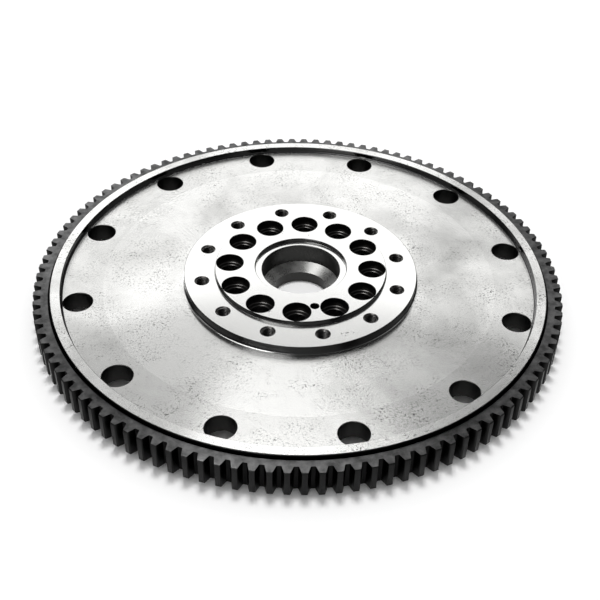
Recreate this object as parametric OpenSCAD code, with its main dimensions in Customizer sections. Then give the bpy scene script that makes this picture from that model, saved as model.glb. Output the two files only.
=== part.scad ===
// Flywheel for a heavy diesel engine: a turned and drilled body, and a starter ring gear
// shrunk on to its rim.
// The wheel turns about Z. Z = 0 is the face that bolts to the crankshaft, and +Z points the
// way the bolt heads face. The dowel hole lies on the -Y side.

/* [Ring gear] */
// Number of starter teeth
teeth = 113; // [90:1:140]
// Diametral pitch that spaces the teeth, in teeth per inch
spacing_dp = 6; // [5:0.5:7]
// Diametral pitch that sets the height of the stub teeth
height_dp = 8; // [7:0.5:10]
// Pressure angle of the teeth, in degrees
pressure_angle = 20; // [14.5:0.5:25]
// Width of the toothed face along the axis
gear_w = 25.4; // [12:0.1:32]
// Solid metal between the tooth roots and the bore of the ring
gear_wall = 8.2; // [6:0.1:14]
// Bevel on both ends of each tooth tip
tip_bevel = 0.8; // [0.2:0.1:1.2]
// Lead-in bevel on both ends of the ring's bore
gear_bore_bevel = 2; // [0.5:0.1:3]
// Rounding at the foot of each tooth
root_round = 1.1; // [0.5:0.1:1.4]

/* [Rim] */
// Width of the raised lip, seen from above
lip_w = 9.1; // [5:0.1:20]
// Height of the lip over the web
lip_h = 5.9; // [3:0.1:15]
// How far the lip stands over the ring gear
lip_over_gear = 3.4; // [1:0.1:8]
// How far the shoulder that the ring gear seats on stands out
seat_w = 4; // [2:0.1:5.5]
// Thickness of that shoulder
seat_t = 3; // [2:0.1:6]

/* [Web] */
// Thickness of the web
web_t = 18; // [12:0.5:26]
// Height of the underside of the web over the crankshaft face
web_lift = 9.5; // [8:0.1:20]
// Rounding where the web meets the rim and the hub
foot_round = 2; // [0.5:0.1:3]
// Number of large holes through the web
web_holes = 12; // [4:1:16]
// Diameter of the large holes through the web
web_hole_d = 26; // [10:0.5:32]
// Metal left between those holes and the inside of the rim
web_hole_margin = 1.7; // [0.5:0.1:20]

/* [Hub flange] */
// Height of the flange over the web
flange_h = 7.8; // [4:0.1:16]
// Number of tapped holes in the flange
tapped_holes = 12; // [4:1:16]
// Nominal diameter of the tapped holes
thread_d = 12; // [8:1:14]
// Pitch of their thread
thread_pitch = 1.75; // [1:0.25:2]
// How much wider than the thread the mouth of each tapped hole is bored
thread_mouth = 1.7; // [0.5:0.1:2]
// Metal left between the boss and the mouths of the tapped holes
tapped_gap = 6.2; // [3:0.1:20]
// Metal left between the mouths of the tapped holes and the edge of the flange
flange_margin = 8.7; // [3:0.1:20]

/* [Boss] */
// Height of the boss over the flange
boss_h = 4; // [2:0.1:10]
// Number of crankshaft bolt holes
bolt_holes = 12; // [4:1:12]
// Diameter that clears a crankshaft bolt
bolt_d = 17.5; // [9:0.1:17.5]
// Diameter of the counterbore for a bolt head
bolt_head_d = 25.4; // [18:0.1:26]
// Depth of that counterbore
bolt_head_depth = 9.5; // [5:0.1:14]
// Metal left between the counterbores and the edge of the boss
boss_margin = 0.5; // [0.5:0.1:10]
// Metal left between the bearing pocket's recess and the counterbores
recess_gap = 10.8; // [6:0.1:20]
// Diameter of the hole for the locating dowel
dowel_d = 8; // [4:0.1:8]
// Metal left between the dowel hole and the counterbores beside it
dowel_gap = 0.95; // [0.8:0.05:3]

/* [Centre bore] */
// Diameter of the bearing pocket
bearing_d = 72; // [50:0.5:90]
// Depth of the bearing pocket
bearing_depth = 19; // [12:0.5:22]
// Width of the ledge around the mouth of the bearing pocket
ledge_w = 6.3; // [3:0.1:15]
// Depth of the recess that the ledge lies in
recess_depth = 3.4; // [1:0.1:8]
// Height of the taper below the bearing pocket
taper_h = 5.7; // [3:0.1:6]
// Width of the taper, from the bearing pocket in to the throat
taper_w = 10; // [4:0.1:14]

/* [Crankshaft face] */
// Metal left between the crankshaft bolt holes and the edge of the crankshaft face
pad_margin = 5.5; // [2:0.1:9]

/* [Edges] */
// Small bevel on the turned and drilled edges
edge_bevel = 0.5; // [0.2:0.1:0.8]

/* [Hidden] */
$fn = 180;

inch = 25.4;
past = 1;            // how far each cutter runs past the face that it opens
lap = 0.1;           // how far a fillet is bedded in the metal behind it
hole_fn = 48;
flank_steps = 3;     // straight steps that follow each curved flank

// Ring gear, from the teeth in to the bore
tooth_angle = 360 / teeth;
pitch_r = teeth / spacing_dp * inch / 2;
base_r = pitch_r * cos(pressure_angle);
tooth_addendum = inch / height_dp;
root_clearance = 0.25;
tip_r = pitch_r + tooth_addendum;
root_r = pitch_r - tooth_addendum * (1 + root_clearance);
shrink_fit = 0;      // the ring and its register are drawn at one nominal size
gear_bore_r = root_r - gear_wall;

// Rim
register_r = gear_bore_r - shrink_fit;
rim_r = register_r - lip_w;
seat_r = register_r + seat_w;

// Heights, up from the crankshaft face
web_top = web_lift + web_t;
lip_top = web_top + lip_h;
gear_top = lip_top - lip_over_gear;
gear_z = gear_top - gear_w;
rim_z = gear_z - seat_t;
flange_top = web_top + flange_h;
boss_top = flange_top + boss_h;
ledge_z = boss_top - recess_depth;
taper_top = ledge_z - bearing_depth;
throat_top = taper_top - taper_h;
bolt_seat_z = boss_top - bolt_head_depth;

// Radii, from the bore out to the flange
bearing_r = bearing_d / 2;
throat_r = bearing_r - taper_w;
recess_r = bearing_r + ledge_w;
bolt_circle_r = recess_r + recess_gap + bolt_head_d / 2;
boss_r = bolt_circle_r + bolt_head_d / 2 + boss_margin;
mouth_d = thread_d + thread_mouth;
tap_drill_d = thread_d - thread_pitch;
tapped_circle_r = boss_r + tapped_gap + mouth_d / 2;
flange_r = tapped_circle_r + mouth_d / 2 + flange_margin;
pad_r = bolt_circle_r + bolt_d / 2 + pad_margin;
web_hole_circle_r = rim_r - web_hole_margin - web_hole_d / 2;

// The tapped holes and the web holes lie on the same spokes as the dowel, and the bolts between
dowel_angle = -90;
bolt_angle = dowel_angle + 180 / bolt_holes;
// The dowel hole sits on the inner side of the bolt circle, dowel_gap clear of both neighbours
dowel_reach = bolt_head_d / 2 + dowel_gap + dowel_d / 2;
half_step = bolt_circle_r * sin(180 / bolt_holes);
dowel_circle_r = bolt_circle_r * cos(180 / bolt_holes)
    - sqrt(max(0, dowel_reach * dowel_reach - half_step * half_step));

// Involute of the base circle, as the angle that it has turned through at radius r
function involute(r) = tan(acos(base_r / r)) * 180 / PI - acos(base_r / r);

// Half the angle that a tooth fills at radius r
function half_tooth(r) = 90 / teeth + involute(pitch_r) - involute(r);

// A point at radius r and angle a
function polar(r, a) = [r * cos(a), r * sin(a)];

// Points of one tooth about the angle a, from the root before it to the root after it
function tooth(a) = let (
    foot_r = root_r + root_round,
    foot_turn = root_round * 180 / PI / root_r,
    step = (tip_r - foot_r) / flank_steps,
    rising = [for (i = [0:flank_steps]) let (r = foot_r + i * step) [r, half_tooth(r)]],
    falling = [for (i = [flank_steps:-1:0]) rising[i]],
    root_turn = half_tooth(foot_r) + foot_turn / 2
) concat(
    [polar(root_r, a - root_turn)],
    [for (p = rising) polar(p[0], a - p[1])],
    [for (p = falling) polar(p[0], a + p[1])],
    [polar(root_r, a + root_turn)]
);

// A rectangle in the turned section, between two radii and two heights
module band(r0, r1, z0, z1) {
    translate([r0, z0]) square([r1 - r0, z1 - z0]);
}

// Faces a corner drawn for +r, +z towards the signs given
module facing(r, z, r_sign, z_sign) {
    translate([r, z]) mirror([r_sign < 0 ? 1 : 0, 0]) mirror([0, z_sign < 0 ? 1 : 0]) children();
}

// Rounded foot that fills an inside corner
module foot(r, z, r_sign, z_sign, radius) {
    facing(r, z, r_sign, z_sign) difference() {
        translate([-lap, -lap]) square(radius + lap);
        translate([radius, radius]) circle(radius);
    }
}

// Cutter for a bevel on an outside corner
module bevel(r, z, r_sign, z_sign, size) {
    facing(r, z, r_sign, z_sign) polygon([[lap, -size - lap], [lap, lap], [-size - lap, lap]]);
}

// Copies its child around the axis
module ring_of(count, radius, first_angle) {
    for (i = [0:count - 1]) rotate(first_angle + i * 360 / count) translate([radius, 0, 0]) children();
}

// Turned section of the body, before drilling
module body_section() {
    difference() {
        union() {
            band(0, pad_r, 0, web_top);
            band(0, rim_r + lap, web_lift, web_top);
            band(0, flange_r, web_lift, flange_top);
            band(0, boss_r, web_lift, boss_top);
            band(rim_r, register_r, rim_z, lip_top);
            band(rim_r, seat_r, rim_z, gear_z);
            foot(boss_r, flange_top, 1, 1, foot_round / 2);
            foot(flange_r, web_top, 1, 1, foot_round);
            foot(rim_r, web_top, -1, 1, foot_round);
            foot(rim_r, web_lift, -1, -1, foot_round);
            foot(pad_r, web_lift, 1, -1, foot_round);
        }
        band(-past, recess_r, ledge_z, boss_top + past);
        band(-past, bearing_r, taper_top, ledge_z + past);
        polygon([[-past, throat_top], [throat_r, throat_top], [bearing_r, taper_top],
            [-past, taper_top]]);
        band(-past, throat_r, -past, throat_top + lap);
        bevel(recess_r, boss_top, -1, 1, edge_bevel);
        bevel(bearing_r, ledge_z, -1, 1, edge_bevel);
        bevel(throat_r, 0, -1, -1, 2 * edge_bevel);
        bevel(boss_r, boss_top, 1, 1, edge_bevel / 2);
        bevel(flange_r, flange_top, 1, 1, edge_bevel);
        bevel(register_r, lip_top, 1, 1, edge_bevel);
        bevel(rim_r, lip_top, -1, 1, edge_bevel);
        bevel(seat_r, rim_z, 1, -1, edge_bevel);
        bevel(rim_r, rim_z, -1, -1, edge_bevel);
        bevel(pad_r, 0, 1, -1, 2 * edge_bevel);
    }
}

// Straight hole between two heights, with a 45 degree bevel at each open end
module drilled(d, z0, z1, bevel_size) {
    translate([0, 0, z0 - past]) cylinder(d = d, h = z1 - z0 + 2 * past, $fn = hole_fn);
    open_mouth(d, z1, 1, bevel_size);
    open_mouth(d, z0, -1, bevel_size);
}

// Conical mouth of a hole: side is 1 on an upper face and -1 on a lower one
module open_mouth(d, z, side, bevel_size) {
    translate([0, 0, z]) mirror([0, 0, side < 0 ? 1 : 0])
        translate([0, 0, -bevel_size])
            cylinder(d1 = d, d2 = d + 2 * (bevel_size + lap), h = bevel_size + lap, $fn = hole_fn);
}

// Crankshaft bolt hole with its counterbore
module bolt_hole() {
    drilled(bolt_d, 0, boss_top, edge_bevel);
    translate([0, 0, bolt_seat_z]) cylinder(d = bolt_head_d, h = bolt_head_depth + past, $fn = hole_fn);
}

// Tapped hole, at the size of its tap drill, with a mouth wider than the thread
module tapped_hole() {
    drilled(tap_drill_d, web_lift, flange_top, (mouth_d - tap_drill_d) / 2);
}

module flywheel_body() {
    color("silver") difference() {
        rotate_extrude() body_section();
        ring_of(web_holes, web_hole_circle_r, dowel_angle)
            drilled(web_hole_d, web_lift, web_top, edge_bevel);
        ring_of(tapped_holes, tapped_circle_r, dowel_angle) tapped_hole();
        ring_of(bolt_holes, bolt_circle_r, bolt_angle) bolt_hole();
        ring_of(1, dowel_circle_r, dowel_angle)
            drilled(dowel_d, 0, boss_top, edge_bevel / 2);
    }
}

// Turned section of the ring gear blank
module gear_section() {
    difference() {
        band(gear_bore_r, tip_r, gear_z, gear_top);
        bevel(tip_r, gear_top, 1, 1, tip_bevel);
        bevel(tip_r, gear_z, 1, -1, tip_bevel);
        bevel(gear_bore_r, gear_top, -1, 1, gear_bore_bevel);
        bevel(gear_bore_r, gear_z, -1, -1, gear_bore_bevel);
    }
}

module ring_gear() {
    color("dimgray") intersection() {
        rotate_extrude() gear_section();
        translate([0, 0, gear_z - past]) linear_extrude(gear_w + 2 * past)
            polygon([for (i = [0:teeth - 1]) each tooth(90 + i * tooth_angle)]);
    }
}

flywheel_body();
ring_gear();
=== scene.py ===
"""Looks of an engine flywheel: a turned steel disc with a starter ring gear shrunk on to its rim.

Lengths are millimetres in the classes below and metres in every mesh. The axis of rotation is Z,
Z = 0 is the face that bolts to the crankshaft, and the dowel hole lies on the -Y side.
"""
import logging
import math
from dataclasses import dataclass
from enum import Enum
from typing import Any, Sequence

import bmesh
import bpy
from mathutils import Matrix, Vector


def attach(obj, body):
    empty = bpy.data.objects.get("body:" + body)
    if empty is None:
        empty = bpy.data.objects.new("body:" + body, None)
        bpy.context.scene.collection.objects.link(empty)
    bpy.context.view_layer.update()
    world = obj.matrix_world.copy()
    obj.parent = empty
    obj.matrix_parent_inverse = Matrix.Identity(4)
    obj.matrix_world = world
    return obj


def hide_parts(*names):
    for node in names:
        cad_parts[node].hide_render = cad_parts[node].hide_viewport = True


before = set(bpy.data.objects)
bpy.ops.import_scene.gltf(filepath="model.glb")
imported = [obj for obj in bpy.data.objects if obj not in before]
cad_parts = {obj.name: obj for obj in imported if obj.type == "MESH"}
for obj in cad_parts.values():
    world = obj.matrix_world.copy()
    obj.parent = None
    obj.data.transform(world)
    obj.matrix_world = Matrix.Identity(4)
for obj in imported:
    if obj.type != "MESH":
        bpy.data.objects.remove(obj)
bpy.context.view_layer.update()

log = logging.getLogger("flywheel")

MM = 0.001
BODY = "root"
SHARP_DEG = 32.0        # edges that turn more than this keep a crisp shade
FLAT_NZ = 0.99999       # a face this close to level is a faced surface
ACROSS_CUT = 0.25       # a quarter turn: highlights stretch across the tool's rings

Point = tuple[float, float]
Span = tuple[float, float]
Verts = list[bmesh.types.BMVert]
Colour = tuple[float, float, float, float]


# --------------------------------------------------------------------------- small tools


def linear(hex_code: str) -> Colour:
    """Turns an sRGB colour into the linear one that a shader takes.

    Args:
        hex_code: six hex digits, such as "c8c8c4".

    Returns:
        Linear red, green and blue, with an alpha of 1.
    """
    def channel(value: float) -> float:
        """One sRGB channel, 0 to 1, as linear light."""
        return value / 12.92 if value <= 0.04045 else ((value + 0.055) / 1.055) ** 2.4

    red, green, blue = (int(hex_code[i:i + 2], 16) / 255 for i in (0, 2, 4))
    return channel(red), channel(green), channel(blue), 1.0


def add_node(tree: bpy.types.NodeTree, kind: str, settings: dict[str, Any] | None = None,
             **inputs: Any) -> bpy.types.Node:
    """Adds a node, sets its properties, and sets or links its inputs.

    Args:
        tree: the node tree that takes the node.
        kind: the node's type name.
        settings: property names and values, such as {"operation": "MULTIPLY"}.
        **inputs: an input each. The name is the socket's with _ for spaces, or i and its number.
            An output socket is linked, and anything else becomes the default value.

    Returns:
        The new node.
    """
    node = tree.nodes.new(kind)
    for name, value in (settings or {}).items():
        setattr(node, name, value)
    for name, value in inputs.items():
        if name[0] == "i" and name[1:].isdigit():
            socket = node.inputs[int(name[1:])]
        else:
            wanted = name.replace("_", " ")
            socket = next(s for s in node.inputs if s.name == wanted and s.enabled)
        if isinstance(value, bpy.types.NodeSocket):
            tree.links.new(value, socket)
        else:
            socket.default_value = value
    return node


def pattern_scale(size_mm: float) -> float:
    """The scale at which a noise pattern has a size in millimetres."""
    return 1000 / size_mm


def new_material(name: str) -> bpy.types.Material:
    """Makes a material whose node tree is still empty.

    Args:
        name: the material's name.

    Returns:
        The material.
    """
    mat = bpy.data.materials.new(name)
    mat.use_nodes = True
    mat.node_tree.nodes.clear()
    return mat


def axis_radius(tree: bpy.types.NodeTree, place: bpy.types.NodeSocket) -> bpy.types.NodeSocket:
    """Works out how far a point is from the wheel's axis.

    Args:
        tree: the material's nodes.
        place: the object coordinates.

    Returns:
        The radius, in metres.
    """
    parts = add_node(tree, "ShaderNodeSeparateXYZ", Vector=place)
    flat = add_node(tree, "ShaderNodeCombineXYZ", X=parts.outputs[0], Y=parts.outputs[1])
    return add_node(tree, "ShaderNodeVectorMath", {"operation": "LENGTH"},
                    i0=flat.outputs[0]).outputs["Value"]


def link_object(name: str, mesh: bpy.types.Mesh) -> bpy.types.Object:
    """Puts a mesh in the scene as an object at the origin.

    Args:
        name: the object's name.
        mesh: its mesh.

    Returns:
        The new object.
    """
    obj = bpy.data.objects.new(name, mesh)
    bpy.context.scene.collection.objects.link(obj)
    return obj


def evaluated_copy(obj: bpy.types.Object, name: str) -> bpy.types.Mesh:
    """Bakes an object's modifiers into a new mesh, and removes them from the object.

    Args:
        obj: the object whose modifiers are live.
        name: the new mesh's name.

    Returns:
        The new mesh.
    """
    graph = bpy.context.evaluated_depsgraph_get()
    mesh = bpy.data.meshes.new_from_object(obj.evaluated_get(graph))
    mesh.name = name
    obj.modifiers.clear()
    return mesh


def drop(*objs: bpy.types.Object) -> None:
    """Removes helper objects, and their meshes where nothing else uses them.

    Args:
        *objs: the objects to remove.
    """
    for obj in objs:
        mesh = obj.data
        bpy.data.objects.remove(obj)
        if mesh.users == 0:
            bpy.data.meshes.remove(mesh)


def shade_machined(mesh: bpy.types.Mesh) -> None:
    """Shades round surfaces smooth, and keeps level faces and machined corners crisp.

    Args:
        mesh: the mesh to shade, in place.
    """
    bm = bmesh.new()
    bm.from_mesh(mesh)
    bm.normal_update()
    limit = math.radians(SHARP_DEG)
    for face in bm.faces:
        face.smooth = True
    for edge in bm.edges:
        if len(edge.link_faces) != 2:
            continue
        first, second = (abs(f.normal.z) > FLAT_NZ for f in edge.link_faces)
        edge.smooth = first == second and edge.calc_face_angle(0.0) < limit
    bm.to_mesh(mesh)
    bm.free()


@dataclass(frozen=True)
class Corner:
    """A corner of a turned section, which may be rounded or bevelled.

    Args:
        r: radius of the corner.
        z: height of the corner.
        cut: how far the rounding or bevel reaches along each side.
        steps: straight steps that follow the rounding; 1 makes a bevel.
    """

    r: float
    z: float
    cut: float = 0.0
    steps: int = 1


def section(corners: Sequence[Corner]) -> list[Point]:
    """Rounds and bevels the corners of a closed section whose corners are all square.

    Args:
        corners: the section's corners in order.

    Returns:
        The points of the finished section, in millimetres.
    """
    points: list[Point] = []
    count = len(corners)
    for i, here in enumerate(corners):
        if not here.cut:
            points.append((here.r, here.z))
            continue
        spot = Vector((here.r, here.z))
        before = Vector((corners[i - 1].r, corners[i - 1].z)) - spot
        after = Vector((corners[(i + 1) % count].r, corners[(i + 1) % count].z)) - spot
        before.normalize()
        after.normalize()
        middle = spot + (before + after) * here.cut
        for step in range(here.steps + 1):
            turn = step / here.steps * math.pi / 2
            on_arc = middle - after * here.cut * math.cos(turn) - before * here.cut * math.sin(turn)
            points.append((on_arc.x, on_arc.y))
    return points


def add_lathe(bm: bmesh.types.BMesh, outline: Sequence[Point], steps: int, closed: bool,
              centre: Point = (0.0, 0.0)) -> None:
    """Turns an outline about a vertical axis.

    Args:
        bm: the mesh that takes the new faces.
        outline: (radius, height) points in millimetres.
        steps: faces around the axis.
        closed: True joins the last point to the first; False caps both ends with a flat face.
        centre: where the axis stands, in millimetres.
    """
    rings = []
    for r, z in outline:
        ring = []
        for k in range(steps):
            a = 2 * math.pi * k / steps
            ring.append(bm.verts.new(((centre[0] + r * math.cos(a)) * MM,
                                      (centre[1] + r * math.sin(a)) * MM, z * MM)))
        rings.append(ring)
    pairs = list(zip(rings, rings[1:]))
    if closed:
        pairs.append((rings[-1], rings[0]))
    for low, high in pairs:
        for k in range(steps):
            m = (k + 1) % steps
            bm.faces.new((low[k], low[m], high[m], high[k]))
    if not closed:
        bm.faces.new(rings[0][::-1])
        bm.faces.new(rings[-1])


def mesh_of(bm: bmesh.types.BMesh, name: str) -> bpy.types.Mesh:
    """Turns a bmesh into a mesh whose faces all point outwards, and frees it.

    Args:
        bm: the finished bmesh.
        name: the mesh's name.

    Returns:
        The mesh.
    """
    bmesh.ops.recalc_face_normals(bm, faces=bm.faces)
    mesh = bpy.data.meshes.new(name)
    bm.to_mesh(mesh)
    bm.free()
    return mesh


def ring_pattern(name: str) -> bpy.types.NodeTree:
    """Geometry Nodes that repeat a piece around the Z axis and weld the copies where they meet.

    Args:
        name: the tree's name.

    Returns:
        The tree, with inputs Piece, Count, First angle, Weld distance and Finish.
    """
    tree = bpy.data.node_groups.new(name, "GeometryNodeTree")
    for label, kind in (("Piece", "Geometry"), ("Count", "Int"), ("First angle", "Float"),
                        ("Weld distance", "Float"), ("Finish", "Material")):
        tree.interface.new_socket(label, in_out="INPUT", socket_type="NodeSocket" + kind)
    tree.interface.new_socket("Geometry", in_out="OUTPUT", socket_type="NodeSocketGeometry")
    given = tree.nodes.new("NodeGroupInput").outputs
    spots = add_node(tree, "GeometryNodePoints", Count=given["Count"])
    index = add_node(tree, "GeometryNodeInputIndex")
    step = add_node(tree, "ShaderNodeMath", {"operation": "DIVIDE"}, i0=2 * math.pi,
                    i1=given["Count"])
    angle = add_node(tree, "ShaderNodeMath", {"operation": "MULTIPLY_ADD"},
                     i0=index.outputs[0], i1=step.outputs[0], i2=given["First angle"])
    turn = add_node(tree, "ShaderNodeCombineXYZ", Z=angle.outputs[0])
    copies = add_node(tree, "GeometryNodeInstanceOnPoints", Points=spots.outputs[0],
                      Instance=given["Piece"], Rotation=turn.outputs[0])
    real = add_node(tree, "GeometryNodeRealizeInstances", Geometry=copies.outputs[0])
    weld = add_node(tree, "GeometryNodeMergeByDistance", Geometry=real.outputs[0],
                    Distance=given["Weld distance"])
    dressed = add_node(tree, "GeometryNodeSetMaterial", Geometry=weld.outputs[0],
                       Material=given["Finish"])
    out = tree.nodes.new("NodeGroupOutput")
    tree.links.new(dressed.outputs[0], out.inputs[0])
    return tree


def repeat_around(name: str, piece: bpy.types.Mesh, count: int, first_angle: float, weld_mm: float,
                  finish: bpy.types.Material) -> bpy.types.Object:
    """Repeats a mesh around the axis by Geometry Nodes, and keeps the result as a plain mesh.

    Args:
        name: name of the finished object.
        piece: the mesh to repeat, in its place for the first copy.
        count: how many copies stand around the axis.
        first_angle: turn of the first copy, in degrees.
        weld_mm: how close two points must be to become one.
        finish: the material.

    Returns:
        The finished object.
    """
    seed = link_object(name + "_piece", piece)
    modifier = seed.modifiers.new("ring_pattern", "NODES")
    tree = ring_pattern(name + "_pattern")
    modifier.node_group = tree
    values = {"Count": count, "First angle": math.radians(first_angle),
              "Weld distance": weld_mm * MM, "Finish": finish}
    for item in tree.interface.items_tree:
        if item.in_out == "INPUT" and item.name in values:
            modifier[item.identifier] = values[item.name]
    obj = link_object(name, evaluated_copy(seed, name))
    drop(seed)
    return obj


# --------------------------------------------------------------------------- finishes


class Zone(Enum):
    """Places on the body that take different finishes; all but the faced one carry painted shade.
    The value is the material's slot.
    """

    FACED = 0
    WALL = 1
    BORE = 2
    WEB_HOLE = 3
    HUB_HOLE = 4
    TAPER = 5


@dataclass(frozen=True)
class TurnedSteel:
    """Carbon steel faced on a lathe, then handled and stored.

    The tool leaves fine rings around the axis, so light spreads across them and draws bright
    wedges. The hub is finished finest, and the web has a second, coarser cut outside its
    middle. Storage leaves soft grey clouds, fine freckles and a few dark pits.
    """

    name: str = "turned_steel"
    hub: str = "f0f0ee"
    inner_web: str = "e8e8e6"
    outer_web: str = "dededc"
    oxide: str = "b0b0ae"
    freckle: str = "70706e"
    pit: str = "1c1b1a"
    hub_r: float = 108.5
    hub_edge_mm: float = 0.2
    second_cut_r: float = 181.0
    second_edge_mm: float = 0.4
    lip_r: float = 217.0
    fine_cut_r: float = 113.0
    run_out_mm: float = 8.0
    roughness: float = 0.21
    oxide_roughness: float = 0.27
    hub_roughness: float = 0.12
    anisotropy: float = 0.88
    groove_mm: float = 1.5       # the real feed is near 0.3 mm; drawn coarse enough to show
    groove_depth_mm: float = 0.004
    cloud_mm: float = 90.0
    cloud_span: Span = (0.44, 0.74)
    cloud_cover: float = 0.8
    patch_mm: float = 34.0
    web_crowd: float = 0.40
    hub_crowd: float = 0.65
    crowd_full: float = 0.66
    freckle_mm: float = 1.7      # real freckles are near 0.5 mm; drawn coarse enough to show
    freckle_span: Span = (0.53, 0.66)
    pit_mm: float = 3.4
    pit_span: Span = (0.40, 0.45)

    def build(self) -> bpy.types.Material:
        """Makes the material.

        Returns:
            The material.
        """
        mat = new_material(self.name)
        tree = mat.node_tree
        place = add_node(tree, "ShaderNodeTexCoord").outputs["Object"]
        radius = axis_radius(tree, place)
        height = add_node(tree, "ShaderNodeSeparateXYZ", Vector=place).outputs[2]
        across = add_node(tree, "ShaderNodeMath", {"operation": "ADD"}, i0=radius,
                          i1=height).outputs[0]
        # The tool's rings: noise that only changes across the cut
        rings = add_node(tree, "ShaderNodeTexNoise", {"noise_dimensions": "1D"}, W=across,
                         Scale=pattern_scale(self.groove_mm), Detail=3.0, Roughness=0.6)
        on_web, outside = (
            add_node(tree, "ShaderNodeMapRange", Value=radius, From_Min=(edge_r - blur) * MM,
                     From_Max=(edge_r + blur) * MM)
            for edge_r, blur in ((self.hub_r, self.hub_edge_mm),
                                 (self.second_cut_r, self.second_edge_mm)))
        on_lip = add_node(tree, "ShaderNodeMath", {"operation": "GREATER_THAN"}, i0=radius,
                          i1=self.lip_r * MM)
        clouds, patches, grain, deep = (
            add_node(tree, "ShaderNodeTexNoise", Vector=place, Scale=pattern_scale(size),
                     Detail=detail, Roughness=uneven, Distortion=swirl).outputs[0]
            for size, detail, uneven, swirl in (
                (self.cloud_mm, 4.0, 0.55, 0.3), (self.patch_mm, 4.0, 0.7, 0.0),
                (self.freckle_mm, 3.0, 0.65, 0.4), (self.pit_mm, 2.0, 0.7, 0.0)))
        # Broad oxide clouds that hands and rags have spread over the web
        stained = add_node(tree, "ShaderNodeMapRange", Value=clouds,
                           From_Min=self.cloud_span[0], From_Max=self.cloud_span[1],
                           To_Max=self.cloud_cover)
        stained = add_node(tree, "ShaderNodeMath", {"operation": "MULTIPLY"},
                           i0=stained.outputs[0], i1=on_web.outputs[0])
        # Freckles and pits crowd together in patches; the hub has few freckles and no pits
        least = add_node(tree, "ShaderNodeMapRange", Value=on_web.outputs[0],
                         To_Min=self.hub_crowd, To_Max=self.web_crowd)
        crowd = add_node(tree, "ShaderNodeMapRange", Value=patches,
                         From_Min=least.outputs[0], From_Max=self.crowd_full)
        freckle = add_node(tree, "ShaderNodeMapRange", Value=grain,
                           From_Min=self.freckle_span[0], From_Max=self.freckle_span[1])
        freckled = add_node(tree, "ShaderNodeMath", {"operation": "MULTIPLY"},
                            i0=freckle.outputs[0], i1=crowd.outputs[0])
        pit_level = add_node(tree, "ShaderNodeMath", {"operation": "MULTIPLY"}, i0=deep,
                             i1=patches)
        pit_level = add_node(tree, "ShaderNodeMath", {"operation": "MULTIPLY"},
                             i0=pit_level.outputs[0], i1=on_web.outputs[0])
        pitted = add_node(tree, "ShaderNodeMapRange", Value=pit_level.outputs[0],
                          From_Min=self.pit_span[0], From_Max=self.pit_span[1])
        # Each layer covers the ones before it
        tone = linear(self.hub)
        for share, colour in ((on_web, self.inner_web), (outside, self.outer_web),
                              (on_lip, self.hub), (stained, self.oxide),
                              (freckled, self.freckle), (pitted, self.pit)):
            tone = add_node(tree, "ShaderNodeMix", {"data_type": "RGBA"}, A=tone,
                            B=linear(colour), Factor=share.outputs[0]).outputs["Result"]
        dirt = add_node(tree, "ShaderNodeMath", {"operation": "MAXIMUM"},
                        i0=stained.outputs[0], i1=freckled.outputs[0])
        # The fine cut of the hub runs out over the first few millimetres of the web
        base_rough = add_node(tree, "ShaderNodeMapRange", Value=radius,
                              From_Min=self.fine_cut_r * MM,
                              From_Max=(self.fine_cut_r + self.run_out_mm) * MM,
                              To_Min=self.hub_roughness, To_Max=self.roughness)
        rough = add_node(tree, "ShaderNodeMapRange", Value=dirt.outputs[0],
                         To_Min=base_rough.outputs[0], To_Max=self.oxide_roughness)
        bump = add_node(tree, "ShaderNodeBump", Height=rings.outputs[0], Strength=1.0,
                        Distance=self.groove_depth_mm * MM)
        tangent = add_node(tree, "ShaderNodeTangent", {"direction_type": "RADIAL", "axis": "Z"})
        shader = add_node(tree, "ShaderNodeBsdfPrincipled", Base_Color=tone,
                          Metallic=1.0, Roughness=rough.outputs[0], Normal=bump.outputs[0],
                          Anisotropic=self.anisotropy, Anisotropic_Rotation=ACROSS_CUT,
                          Tangent=tangent.outputs[0])
        add_node(tree, "ShaderNodeOutputMaterial", Surface=shader.outputs[0])
        return mat


@dataclass(frozen=True)
class CutSteel:
    """Carbon steel that a tool has cut and nobody has polished.

    The feed leaves fine steps down the wall and oil lies on it in patches, so it shows
    streaks of light. On the walls, in the bore and in the holes its dark colour is painted shade.

    Args:
        name: the material's name.
        colour: how light the steel is painted; the dark colours stand for painted shade.
        roughness: its middle roughness.
        roughness_swing: how far the oil moves it each way.
        feed_mm: height of one step.
        depth_mm: depth of one step.
        oil_mm: size of the oil's patches.
    """

    name: str
    colour: str
    roughness: float
    roughness_swing: float = 0.1
    feed_mm: float = 0.9         # the real feed is near 0.3 mm; drawn coarse enough to show
    depth_mm: float = 0.02
    oil_mm: float = 9.0

    def build(self) -> bpy.types.Material:
        """Makes the material.

        Returns:
            The material.
        """
        mat = new_material(self.name)
        tree = mat.node_tree
        place = add_node(tree, "ShaderNodeTexCoord").outputs["Object"]
        height = add_node(tree, "ShaderNodeSeparateXYZ", Vector=place).outputs[2]
        feed = add_node(tree, "ShaderNodeTexNoise", {"noise_dimensions": "1D"}, W=height,
                        Scale=pattern_scale(self.feed_mm), Detail=2.0)
        oil = add_node(tree, "ShaderNodeTexNoise", Vector=place,
                       Scale=pattern_scale(self.oil_mm), Detail=4.0)
        rough = add_node(tree, "ShaderNodeMapRange", Value=oil.outputs[0],
                         To_Min=self.roughness - self.roughness_swing,
                         To_Max=self.roughness + self.roughness_swing)
        bump = add_node(tree, "ShaderNodeBump", Height=feed.outputs[0],
                        Distance=self.depth_mm * MM)
        shader = add_node(tree, "ShaderNodeBsdfPrincipled", Base_Color=linear(self.colour),
                          Metallic=1.0, Roughness=rough.outputs[0], Normal=bump.outputs[0])
        add_node(tree, "ShaderNodeOutputMaterial", Surface=shader.outputs[0])
        return mat


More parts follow.
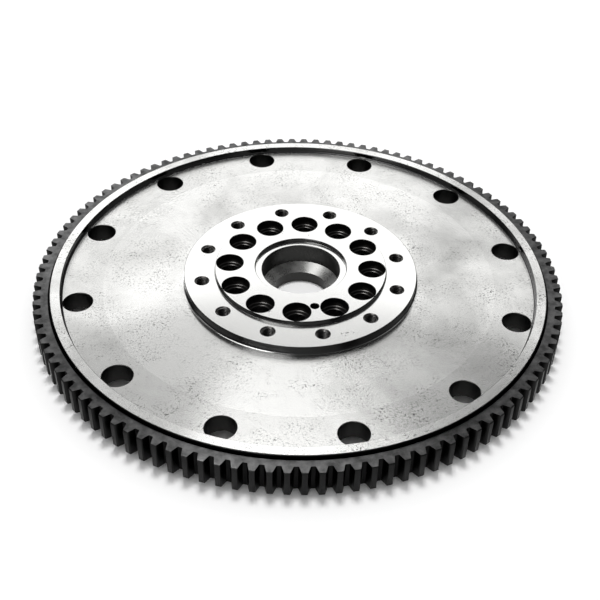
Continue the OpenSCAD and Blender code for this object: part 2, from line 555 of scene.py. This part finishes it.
@dataclass(frozen=True)
class HardenedSteel:
    """Induction-hardened gear steel: a dry, dark heat-treatment scale.

    Its end faces are turned, so they shine along the same wedges as the body. The lands of the
    teeth are lighter, and the tooth sides darken into the gaps between them as painted shade.
    """

    name: str = "hardened_steel"
    gap_shade_tone: str = "0d0d0d"
    land_tone: str = "232323"
    end_tone: str = "444444"
    rubbed: str = "6e6e6e"
    gap_r: float = 238.6
    land_r: float = 241.4
    end_nz: Span = (0.85, 0.95)
    roughness: float = 0.36
    roughness_swing: float = 0.08
    anisotropy: float = 0.85
    mottle_mm: float = 7.0
    worn_span: Span = (0.35, 0.7)
    grain_mm: float = 1.3        # real scale is finer; drawn coarse enough to show
    grain_depth_mm: float = 0.03
    grain_strength: float = 0.6

    def build(self) -> bpy.types.Material:
        """Makes the material.

        Returns:
            The material.
        """
        mat = new_material(self.name)
        tree = mat.node_tree
        place = add_node(tree, "ShaderNodeTexCoord").outputs["Object"]
        radius = axis_radius(tree, place)
        mottle = add_node(tree, "ShaderNodeTexNoise", Vector=place,
                          Scale=pattern_scale(self.mottle_mm), Detail=4.0, Roughness=0.6)
        worn = add_node(tree, "ShaderNodeMapRange", Value=mottle.outputs[0],
                        From_Min=self.worn_span[0], From_Max=self.worn_span[1])
        # Painted shade: the tooth sides darken from the lands into the gaps between the teeth
        teeth = add_node(tree, "ShaderNodeMapRange", Value=radius,
                         From_Min=self.gap_r * MM, From_Max=self.land_r * MM)
        side = add_node(tree, "ShaderNodeMix", {"data_type": "RGBA"}, Factor=teeth.outputs[0],
                        A=linear(self.gap_shade_tone), B=linear(self.land_tone))
        end = add_node(tree, "ShaderNodeMix", {"data_type": "RGBA"}, Factor=worn.outputs[0],
                       A=linear(self.end_tone), B=linear(self.rubbed))
        # The upper end face takes the end tones, and every other face the tooth tones
        facing = add_node(tree, "ShaderNodeNewGeometry").outputs["True Normal"]
        upward = add_node(tree, "ShaderNodeSeparateXYZ", Vector=facing).outputs[2]
        on_end = add_node(tree, "ShaderNodeMapRange", Value=upward,
                          From_Min=self.end_nz[0], From_Max=self.end_nz[1])
        tone = add_node(tree, "ShaderNodeMix", {"data_type": "RGBA"}, Factor=on_end.outputs[0],
                        A=side.outputs["Result"], B=end.outputs["Result"])
        grain = add_node(tree, "ShaderNodeTexNoise", Vector=place,
                         Scale=pattern_scale(self.grain_mm), Detail=3.0)
        rough = add_node(tree, "ShaderNodeMapRange", Value=mottle.outputs[0],
                         To_Min=self.roughness + self.roughness_swing,
                         To_Max=self.roughness - self.roughness_swing)
        bump = add_node(tree, "ShaderNodeBump", Height=grain.outputs[0],
                        Strength=self.grain_strength, Distance=self.grain_depth_mm * MM)
        tangent = add_node(tree, "ShaderNodeTangent", {"direction_type": "RADIAL", "axis": "Z"})
        shader = add_node(tree, "ShaderNodeBsdfPrincipled", Base_Color=tone.outputs["Result"],
                          Metallic=1.0, Roughness=rough.outputs[0], Normal=bump.outputs[0],
                          Anisotropic=self.anisotropy, Anisotropic_Rotation=ACROSS_CUT,
                          Tangent=tangent.outputs[0])
        add_node(tree, "ShaderNodeOutputMaterial", Surface=shader.outputs[0])
        return mat


# --------------------------------------------------------------------------- the body


@dataclass(frozen=True)
class Hole:
    """A drilled hole as a cutter: its finish, its centre, and its outline from the bottom up."""

    zone: Zone
    centre: Point
    outline: tuple[Point, ...]


@dataclass
class TurnedBody:
    """The turned and drilled steel body.

    Radii end in _r and heights in _z. A _cut is a bevel, a _foot or _round a fillet, and _steps
    are straight steps. A face is faced where its normal's Z is over the _nz for its place.
    """

    name: str = "turned_body"
    turn_steps: int = 576
    hole_steps: int = 64
    throat_r: float = 26.0
    taper_z: float = 11.2
    bearing_r: float = 36.0
    bearing_z: float = 16.9
    recess_r: float = 42.3
    ledge_z: float = 35.9
    boss_r: float = 79.0
    boss_z: float = 39.3
    flange_r: float = 107.6
    flange_z: float = 35.3
    web_z: float = 27.5
    web_under_z: float = 9.5
    rim_r: float = 217.915
    register_r: float = 227.015
    lip_z: float = 33.4
    seat_r: float = 231.015
    seat_z: float = 4.6
    rim_z: float = 1.6
    pad_r: float = 80.05
    web_circle_r: float = 203.215
    web_hole_r: float = 13.0
    tapped_circle_r: float = 92.05
    thread_r: float = 6.05
    mouth_r: float = 6.85
    bolt_circle_r: float = 65.8
    bolt_r: float = 8.75
    head_r: float = 12.7
    head_z: float = 29.8
    dowel_circle_r: float = 58.92
    dowel_r: float = 4.0
    hole_count: int = 12
    dowel_angle: float = -90.0
    past: float = 2.0            # how far a drill reaches past the steel
    face_cut: float = 1.0
    edge_cut: float = 0.5
    boss_cut: float = 0.3
    head_cut: float = 0.2
    exit_cut: float = 0.8
    dowel_cut: float = 0.25
    dowel_exit_cut: float = 0.3
    foot_round: float = 2.0
    boss_foot: float = 1.0
    recess_foot: float = 0.6
    foot_steps: int = 8
    under_steps: int = 6
    boss_foot_steps: int = 6
    recess_steps: int = 4
    flange_steps: int = 3
    boss_steps: int = 2
    wall_nz: float = 0.97
    taper_nz: float = 0.6
    foot_nz: float = 0.80

    def outline(self) -> list[Point]:
        """The turned section, from the throat's lower edge round the rim and back."""
        return section([
            Corner(self.throat_r, 0.0, self.face_cut),
            Corner(self.pad_r, 0.0, self.face_cut),
            Corner(self.pad_r, self.web_under_z, self.foot_round, self.under_steps),
            Corner(self.rim_r, self.web_under_z, self.foot_round, self.under_steps),
            Corner(self.rim_r, self.rim_z, self.edge_cut),
            Corner(self.seat_r, self.rim_z, self.edge_cut),
            Corner(self.seat_r, self.seat_z),
            Corner(self.register_r, self.seat_z),
            Corner(self.register_r, self.lip_z, self.edge_cut),
            Corner(self.rim_r, self.lip_z, self.edge_cut),
            Corner(self.rim_r, self.web_z, self.foot_round, self.foot_steps),
            Corner(self.flange_r, self.web_z, self.foot_round, self.foot_steps),
            Corner(self.flange_r, self.flange_z, self.edge_cut, self.flange_steps),
            Corner(self.boss_r, self.flange_z, self.boss_foot, self.boss_foot_steps),
            Corner(self.boss_r, self.boss_z, self.boss_cut, self.boss_steps),
            Corner(self.recess_r, self.boss_z, self.edge_cut),
            Corner(self.recess_r, self.ledge_z, self.recess_foot, self.recess_steps),
            Corner(self.bearing_r, self.ledge_z, self.edge_cut),
            Corner(self.bearing_r, self.bearing_z),
            Corner(self.throat_r, self.taper_z),
        ])

    def around(self, count: int, radius: float, first: float) -> list[Point]:
        """Centres of holes spread evenly around a circle."""
        return [(radius * math.cos(math.radians(first + 360 * k / count)),
                 radius * math.sin(math.radians(first + 360 * k / count))) for k in range(count)]

    def holes(self) -> list[Hole]:
        """Lists every hole with its bevels, at its place.

        Returns:
            The web holes, the tapped holes, the crank bolt holes and the dowel hole.
        """
        past, cut = self.past, self.edge_cut

        def through(r: float, low: float, high: float, bevel: float,
                    top: float) -> tuple[Point, ...]:
            """Outline of a straight hole with a bevel at the bottom and one at the top."""
            return ((r + bevel + past, low - past), (r, low + bevel), (r, high - top),
                    (r + top + past, high + past))

        web = through(self.web_hole_r, self.web_under_z, self.web_z, self.exit_cut, cut)
        tapped = through(self.thread_r, self.web_under_z, self.flange_z, self.exit_cut,
                         self.mouth_r - self.thread_r)
        bolt = ((self.bolt_r + cut + past, -past), (self.bolt_r, cut),
                (self.bolt_r, self.head_z - cut), (self.bolt_r + cut, self.head_z),
                (self.head_r - cut, self.head_z), (self.head_r, self.head_z + cut),
                (self.head_r, self.boss_z - self.head_cut),
                (self.head_r + self.head_cut + past, self.boss_z + past))
        dowel = through(self.dowel_r, 0.0, self.boss_z, self.dowel_exit_cut, self.dowel_cut)
        # The crank bolts stand half a step round from the dowel; the others are in line with it
        half_step = 180 / self.hole_count
        rows = (
            (Zone.WEB_HOLE, self.hole_count, self.web_circle_r, 0.0, web),
            (Zone.HUB_HOLE, self.hole_count, self.tapped_circle_r, 0.0, tapped),
            (Zone.HUB_HOLE, self.hole_count, self.bolt_circle_r, half_step, bolt),
            (Zone.HUB_HOLE, 1, self.dowel_circle_r, 0.0, dowel),
        )
        return [Hole(zone, centre, outline) for zone, count, circle_r, turn, outline in rows
                for centre in self.around(count, circle_r, self.dowel_angle + turn)]

    def zone_of(self, face: bmesh.types.BMFace) -> Zone:
        """Finds which zone a face of the turned blank belongs to.

        Args:
            face: the face.

        Returns:
            Its zone.
        """
        spot = face.calc_center_median()
        radius = math.hypot(spot.x, spot.y)
        level = abs(face.normal.z)
        if self.rim_z * MM < spot.z and radius < self.bearing_r * MM:
            return Zone.TAPER if level > self.taper_nz else Zone.BORE
        # Painted shade: the rim's fillet takes the dark wall colour, and only the flange's fillet
        # keeps the faced steel
        at_foot = (self.flange_r < radius / MM < self.flange_r + self.foot_round
                   and spot.z < (self.web_z + self.foot_round) * MM)
        return Zone.FACED if level > (self.foot_nz if at_foot else self.wall_nz) else Zone.WALL

    def build(self, finishes: dict[Zone, bpy.types.Material]) -> bpy.types.Object:
        """Turns the blank, drills it and dresses it.

        Args:
            finishes: the material of each zone.

        Returns:
            The finished object.
        """
        bm = bmesh.new()
        add_lathe(bm, self.outline(), self.turn_steps, closed=True)
        bmesh.ops.recalc_face_normals(bm, faces=bm.faces)
        for face in bm.faces:
            face.material_index = self.zone_of(face).value
        blank = link_object(self.name + "_blank", mesh_of(bm, self.name + "_blank"))
        bm = bmesh.new()
        for hole in self.holes():
            cut_before = len(bm.faces)
            add_lathe(bm, hole.outline, self.hole_steps, closed=False, centre=hole.centre)
            bm.faces.ensure_lookup_table()
            for face in bm.faces[cut_before:]:
                face.material_index = hole.zone.value
        drills = link_object(self.name + "_drills", mesh_of(bm, self.name + "_drills"))
        for zone in Zone:
            blank.data.materials.append(finishes[zone])
            drills.data.materials.append(finishes[zone])
        cut = blank.modifiers.new("drill", "BOOLEAN")
        cut.operation = "DIFFERENCE"
        cut.solver = "MANIFOLD"
        cut.object = drills
        mesh = evaluated_copy(blank, self.name)
        drop(blank, drills)
        shade_machined(mesh)
        obj = link_object(self.name, mesh)
        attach(obj, BODY)
        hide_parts("flywheel_body")
        return obj


# --------------------------------------------------------------------------- the threads


@dataclass
class TappedThreads:
    """The M12 threads in the hub flange, one helical lining in each tapped hole.

    The shape is one turn: how far along the pitch, and how far from root to crest.
    """

    name: str = "tapped_threads"
    count: int = 12
    circle_r: float = 92.05
    wall_r: float = 6.03
    root_r: float = 6.0
    crest_r: float = 5.05
    pitch: float = 1.75
    low_z: float = 10.6
    high_z: float = 34.2
    first_angle: float = -90.0
    steps: int = 32
    merge_mm: float = 0.002
    sliver_mm: float = 0.001
    shape: tuple[Point, ...] = ((0.0, 0.0), (0.12, 0.0), (0.45, 1.0), (0.67, 1.0))

    def lining(self) -> bpy.types.Mesh:
        """One thread lining at its place on the +X side.

        Returns:
            The mesh of a closed lining with a helical ridge.
        """
        bm = bmesh.new()
        turns = math.ceil((self.high_z - self.low_z) / self.pitch) + 1
        grid = []
        for k in range(self.steps + 1):
            share = k / self.steps
            a = 2 * math.pi * share
            column = []
            for turn in range(-1, turns):
                for along, height in self.shape:
                    z = self.low_z + (turn + along + share) * self.pitch
                    r = self.root_r + (self.crest_r - self.root_r) * height
                    if z <= self.low_z or z >= self.high_z:
                        z = min(max(z, self.low_z), self.high_z)
                        r = self.wall_r
                    column.append(bm.verts.new(((self.circle_r + r * math.cos(a)) * MM,
                                                r * math.sin(a) * MM, z * MM)))
            grid.append(column)
        for left, right in zip(grid, grid[1:]):
            for j in range(len(left) - 1):
                bm.faces.new((left[j], right[j], right[j + 1], left[j + 1]))
        for left, right in zip(grid, grid[1:]):
            bm.faces.new((left[0], left[-1], right[-1], right[0]))
        bmesh.ops.remove_doubles(bm, verts=bm.verts, dist=self.merge_mm * MM)
        bmesh.ops.dissolve_degenerate(bm, edges=bm.edges, dist=self.sliver_mm * MM)
        return mesh_of(bm, self.name)

    def build(self, finish: bpy.types.Material) -> bpy.types.Object:
        """Repeats the lining around the flange.

        Args:
            finish: the material of the thread.

        Returns:
            The finished object.
        """
        obj = repeat_around(self.name, self.lining(), self.count, self.first_angle, 0.0, finish)
        shade_machined(obj.data)
        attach(obj, BODY)
        return obj


# --------------------------------------------------------------------------- the ring gear


@dataclass
class StarterRing:
    """The starter ring gear with stub teeth."""

    name: str = "starter_ring"
    teeth: int = 113
    pitch_r: float = 239.183
    pressure_deg: float = 20.0
    tip_r: float = 242.345
    root_r: float = 235.215
    bore_r: float = 227.015
    low_z: float = 4.6
    high_z: float = 30.0
    tip_bevel: float = 0.8
    bore_bevel: float = 2.0
    root_round: float = 1.1
    edge_round: float = 0.14
    edge_deg: float = 30.0
    first_angle: float = 90.0
    weld_mm: float = 0.005
    merge_mm: float = 0.001
    flank_steps: int = 5
    land_steps: int = 2
    root_steps: int = 4

    def half_tooth(self, r: float) -> float:
        """Works out how wide a tooth is at a radius.

        Args:
            r: the radius in millimetres, outside the involute's base circle.

        Returns:
            Half the angle that the tooth fills there, in radians.
        """
        base = self.pitch_r * math.cos(math.radians(self.pressure_deg))

        def turned(radius: float) -> float:
            """Angle that the involute has turned through at a radius."""
            lean = math.acos(base / radius)
            return math.tan(lean) - lean

        return math.pi / 2 / self.teeth + turned(self.pitch_r) - turned(r)

    def flank(self) -> list[Point]:
        """Half of the tooth outline, from the middle of the land down to the middle of the gap.

        Returns:
            (angle from the tooth's middle, radius) points.
        """
        points = []
        land = self.half_tooth(self.tip_r)
        for k in range(self.land_steps):
            points.append((land * k / self.land_steps, self.tip_r))
        bevel_r = self.tip_r - self.tip_bevel
        points.append((land, self.tip_r))
        points.append((self.half_tooth(bevel_r), bevel_r))
        foot_r = self.root_r + self.root_round
        for k in range(1, self.flank_steps + 1):
            r = bevel_r + (foot_r - bevel_r) * k / self.flank_steps
            points.append((self.half_tooth(r), r))
        foot = self.half_tooth(foot_r)
        reach = self.root_round / self.root_r
        for k in range(1, self.root_steps + 1):
            turn = k / self.root_steps * math.pi / 2
            points.append((foot + reach * (1 - math.cos(turn)),
                           foot_r - self.root_round * math.sin(turn)))
        points.append((math.pi / self.teeth, self.root_r))
        return points

    def sector(self) -> bpy.types.Mesh:
        """One tooth with its share of the ring, about the +X axis.

        Returns:
            The mesh, open only on the two sides that meet the next sectors.
        """
        half = self.flank()
        outline = [(-a, r) for a, r in reversed(half)] + half[1:]
        bevel_r = self.tip_r - self.tip_bevel
        bm = bmesh.new()

        def vert(a: float, r: float, z: float) -> bmesh.types.BMVert:
            """A point at an angle, a radius and a height."""
            return bm.verts.new((r * math.cos(a) * MM, r * math.sin(a) * MM, z * MM))

        def level(z: float, side: int) -> tuple[Verts, dict[int, bmesh.types.BMVert], Verts]:
            """Lays the points of one end of the sector.

            Args:
                z: height of the end.
                side: 1 for the upper end, -1 for the lower.

            Returns:
                Its outline, the line inside its tip bevel by index, and its edge at the bore.
            """
            edge = [vert(a, r, z - side * max(0.0, r - bevel_r)) for a, r in outline]
            line = {k: vert(a, bevel_r, z) for k, (a, r) in enumerate(outline) if r > bevel_r}
            inner = [vert(a, self.bore_r + self.bore_bevel, z) for a, _ in outline]
            return edge, line, inner

        top, top_line, top_inner = level(self.high_z, 1)
        low, low_line, low_inner = level(self.low_z, -1)
        wall_top = [vert(a, self.bore_r, self.high_z - self.bore_bevel) for a, _ in outline]
        wall_low = [vert(a, self.bore_r, self.low_z + self.bore_bevel) for a, _ in outline]
        for k in range(len(outline) - 1):
            m = k + 1
            bm.faces.new((low[k], low[m], top[m], top[k]))
            bm.faces.new((top_inner[k], top_inner[m], wall_top[m], wall_top[k]))
            bm.faces.new((wall_low[k], wall_low[m], low_inner[m], low_inner[k]))
            bm.faces.new((wall_top[k], wall_top[m], wall_low[m], wall_low[k]))
            for edge, line, inner in ((top, top_line, top_inner), (low, low_line, low_inner)):
                near = line.get(k, edge[k])
                far = line.get(m, edge[m])
                bm.faces.new((inner[k], near, far, inner[m]))
                if k in line or m in line:
                    ring = [v for v in (edge[k], edge[m], line.get(m), line.get(k)) if v]
                    bm.faces.new(ring)
        bmesh.ops.remove_doubles(bm, verts=bm.verts, dist=self.merge_mm * MM)
        return mesh_of(bm, self.name)

    def build(self, finish: bpy.types.Material) -> bpy.types.Object:
        """Repeats the sector into a ring, and softens its edges.

        Args:
            finish: the material of the ring.

        Returns:
            The finished object.
        """
        ring = repeat_around(self.name, self.sector(), self.teeth, self.first_angle,
                             self.weld_mm, finish)
        soften = ring.modifiers.new("edge_round", "BEVEL")
        soften.width = self.edge_round * MM
        soften.segments = 1
        soften.limit_method = "ANGLE"
        soften.angle_limit = math.radians(self.edge_deg)
        mesh = evaluated_copy(ring, self.name)
        old = ring.data
        ring.data = mesh
        bpy.data.meshes.remove(old)
        shade_machined(mesh)
        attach(ring, BODY)
        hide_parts("ring_gear")
        return ring


# --------------------------------------------------------------------------- the studio


@dataclass(frozen=True)
class Panel:
    """A soft light, placed by direction from the object.

    Args:
        name: the light's name.
        azimuth: direction, in degrees counterclockwise from the far side.
        elevation: height of its middle over the floor, in degrees.
        wide: how wide it looks from the object, in degrees.
        tall: how tall it looks, in degrees.
        radiance: how bright its surface is, where 1 is paper white.
        distance: metres from the object.
        on_floor: True lights the floor only; the others are seen only in the metal.
    """

    name: str
    azimuth: float
    elevation: float
    wide: float
    tall: float
    radiance: float
    distance: float = 3.0
    on_floor: bool = False


@dataclass
class Studio:
    """A pale floor, soft lights and the camera.

    The camera stands back from the middle of the web and is then turned by yaw, pitch and roll.
    turn_deg turns the whole studio about the wheel's axis.
    """

    focal_mm: float = 61.473
    sensor_mm: float = 36.0
    distance: float = 0.95725
    elevation_deg: float = 38.452
    yaw_deg: float = 2.858
    pitch_deg: float = 1.279
    roll_deg: float = 2.957
    turn_deg: float = -12.62
    shift_x: float = -0.066
    clip_m: Span = (0.01, 100.0)
    web_z: float = 0.0275
    floor_tone: str = "f4f4f4"
    floor_roughness: float = 0.9
    floor_half: float = 9.0
    room_tone: str = "ffffff"
    floor_light: float = 0.70
    metal_light: float = 0.05
    panels: tuple[Panel, ...] = (
        Panel("floor_lamp", 5.0, 81.0, 12.0, 12.0, 40.0, on_floor=True),
        Panel("top_far", 0.0, 67.0, 22.0, 20.0, 3.2),
        Panel("top_left", 84.0, 69.0, 34.0, 18.0, 2.2),
        Panel("softbox_left", 146.0, 52.0, 28.0, 20.0, 13.0),
        Panel("high_far", 6.0, 49.0, 34.0, 14.0, 0.5),
        Panel("window_far", 0.0, 35.0, 24.6, 14.0, 1.22),
        Panel("window_left", 30.0, 35.0, 24.6, 14.0, 1.27),
        Panel("window_right", -30.0, 35.0, 24.6, 14.0, 1.1),
        Panel("low_far", 0.0, 21.0, 28.0, 14.0, 1.5),
        Panel("low_far_left", 30.0, 21.0, 28.0, 14.0, 2.0),
        Panel("sill_far", 0.0, 7.0, 35.7, 14.0, 0.4),
        Panel("sill_left", 36.0, 7.0, 35.7, 14.0, 6.0),
        Panel("left", 95.0, 30.0, 44.0, 36.0, 0.6),
        Panel("near", 190.0, 34.0, 46.0, 32.0, 0.9),
        Panel("near_low", 180.0, 9.0, 100.0, 18.0, 0.7),
        Panel("right", -95.0, 40.0, 50.0, 24.0, 0.4),
        Panel("right_low", -95.0, 13.0, 70.0, 24.0, 0.5),
    )

    def floor(self) -> None:
        """Lays the floor, which isn't part of the object."""
        bm = bmesh.new()
        size = self.floor_half
        bm.faces.new([bm.verts.new((x * size, y * size, 0.0))
                      for x, y in ((-1, -1), (1, -1), (1, 1), (-1, 1))])
        mesh = bpy.data.meshes.new("studio_floor")
        bm.to_mesh(mesh)
        bm.free()
        obj = link_object("studio_floor", mesh)
        # Matt paper, pressed and uncoated: it takes soft shadows and has no glint
        mat = new_material("matt_paper")
        tree = mat.node_tree
        shader = add_node(tree, "ShaderNodeBsdfPrincipled", Base_Color=linear(self.floor_tone),
                          Roughness=self.floor_roughness)
        add_node(tree, "ShaderNodeOutputMaterial", Surface=shader.outputs[0])
        mesh.materials.append(mat)

    def camera(self) -> None:
        """Stands the camera."""
        rise = math.radians(self.elevation_deg)
        look = math.radians(self.elevation_deg + self.pitch_deg)
        yaw = math.radians(self.yaw_deg)
        roll = math.radians(self.roll_deg)
        spin = Matrix.Rotation(math.radians(self.turn_deg), 3, "Z")
        ahead = Vector((math.sin(yaw) * math.cos(look), math.cos(yaw) * math.cos(look),
                        -math.sin(look)))
        right = Vector((math.cos(yaw), -math.sin(yaw), 0.0))
        up = right.cross(ahead)
        across = right * math.cos(roll) + up * math.sin(roll)
        above = up * math.cos(roll) - right * math.sin(roll)
        place = Vector((0.0, -math.cos(rise), math.sin(rise))) * self.distance
        axes = [spin @ v for v in (across, above, -ahead)]
        matrix = Matrix((axes[0], axes[1], axes[2])).transposed().to_4x4()
        matrix.translation = spin @ place + Vector((0.0, 0.0, self.web_z))
        data = bpy.data.cameras.new("camera")
        data.lens = self.focal_mm
        data.sensor_width = self.sensor_mm
        data.shift_x = self.shift_x
        data.clip_start, data.clip_end = self.clip_m
        obj = bpy.data.objects.new("camera", data)
        obj.matrix_world = matrix
        bpy.context.scene.collection.objects.link(obj)
        bpy.context.scene.camera = obj

    def soft_light(self, panel: Panel, far_azimuth: float) -> None:
        """Hangs an area light that faces the object.

        Args:
            panel: the light.
            far_azimuth: direction of the far side of the studio, in degrees from +X.
        """
        data = bpy.data.lights.new(panel.name, "AREA")
        data.shape = "RECTANGLE"
        data.size = 2 * panel.distance * math.tan(math.radians(panel.wide / 2))
        data.size_y = 2 * panel.distance * math.tan(math.radians(panel.tall / 2))
        # A flat lamp of radiance L gives off pi * L for each square metre
        data.energy = math.pi * panel.radiance * data.size * data.size_y
        obj = bpy.data.objects.new(panel.name, data)
        a = math.radians(far_azimuth + panel.azimuth)
        e = math.radians(panel.elevation)
        place = Vector((math.cos(e) * math.cos(a), math.cos(e) * math.sin(a), math.sin(e)))
        obj.rotation_euler = place.to_track_quat("Z", "Y").to_euler()
        obj.location = place * panel.distance
        obj.visible_glossy = not panel.on_floor
        obj.visible_diffuse = panel.on_floor
        bpy.context.scene.collection.objects.link(obj)

    def world(self) -> None:
        """Lights the floor evenly to the horizon, and the metal only a little."""
        world = bpy.data.worlds.new("studio")
        world.use_nodes = True
        tree = world.node_tree
        tree.nodes.clear()
        seen, even, fill = (
            add_node(tree, "ShaderNodeBackground", Color=linear(tone), Strength=strength).outputs[0]
            for tone, strength in ((self.floor_tone, 1.0), (self.room_tone, self.floor_light),
                                   (self.room_tone, self.metal_light)))
        path = add_node(tree, "ShaderNodeLightPath")
        room = add_node(tree, "ShaderNodeMixShader", i0=path.outputs["Is Diffuse Ray"],
                        i1=fill, i2=even)
        both = add_node(tree, "ShaderNodeMixShader", i0=path.outputs["Is Camera Ray"],
                        i1=room.outputs[0], i2=seen)
        add_node(tree, "ShaderNodeOutputWorld", Surface=both.outputs[0])
        bpy.context.scene.world = world

    def build(self) -> None:
        """Sets the whole studio."""
        self.floor()
        self.camera()
        self.world()
        far = 90 + self.turn_deg
        for panel in self.panels:
            self.soft_light(panel, far)
        view = bpy.context.scene.view_settings
        view.view_transform = "Standard"
        view.look = "None"


# --------------------------------------------------------------------------- main


def main() -> None:
    """Builds the studio and each piece in order, and reports them."""
    logging.basicConfig(level=logging.INFO, format="%(name)s: %(message)s")
    Studio().build()
    finishes = {
        Zone.FACED: TurnedSteel().build(),
        # Upright walls, rough turned and oily: painted near black as shade on every upright face,
        # with broad bright streaks
        Zone.WALL: CutSteel("rough_turned_wall_painted_shade", "303030", 0.22).build(),
        # The pocket, bored to size and oiled: dark grey as painted shade inside the bore, with a
        # soft sheen
        Zone.BORE: CutSteel("bored_pocket_painted_shade", "3a3a39", 0.30).build(),
        # The web holes, drilled and left as they were: painted the darkest as shade inside the
        # holes, and the dullest
        Zone.WEB_HOLE: CutSteel("drilled_hole_painted_shade", "2b2b2a", 0.36).build(),
        # The hub's holes, cut by a counterbore: dark as painted shade inside the holes, with thin
        # arcs of light in them
        Zone.HUB_HOLE: CutSteel("counterbored_hole_painted_shade", "3e3d3c", 0.32).build(),
        # The taper, turned and wiped clean: pale, but painted darker than the faced steel as shade
        # in the bore, with one soft highlight
        Zone.TAPER: CutSteel("taper_turned_painted_shade", "b0b0ae", 0.28).build(),
    }
    # The threads, cut by a tap: painted dark as shade in the holes; their crests catch the light
    # and their roots stay dark
    thread = CutSteel("tapped_thread_painted_shade", "504f4e", 0.26).build()
    for obj in (TurnedBody().build(finishes), TappedThreads().build(thread),
                StarterRing().build(HardenedSteel().build())):
        log.info("%s: %d faces", obj.name, len(obj.data.polygons))


if __name__ == "__main__":
    main()
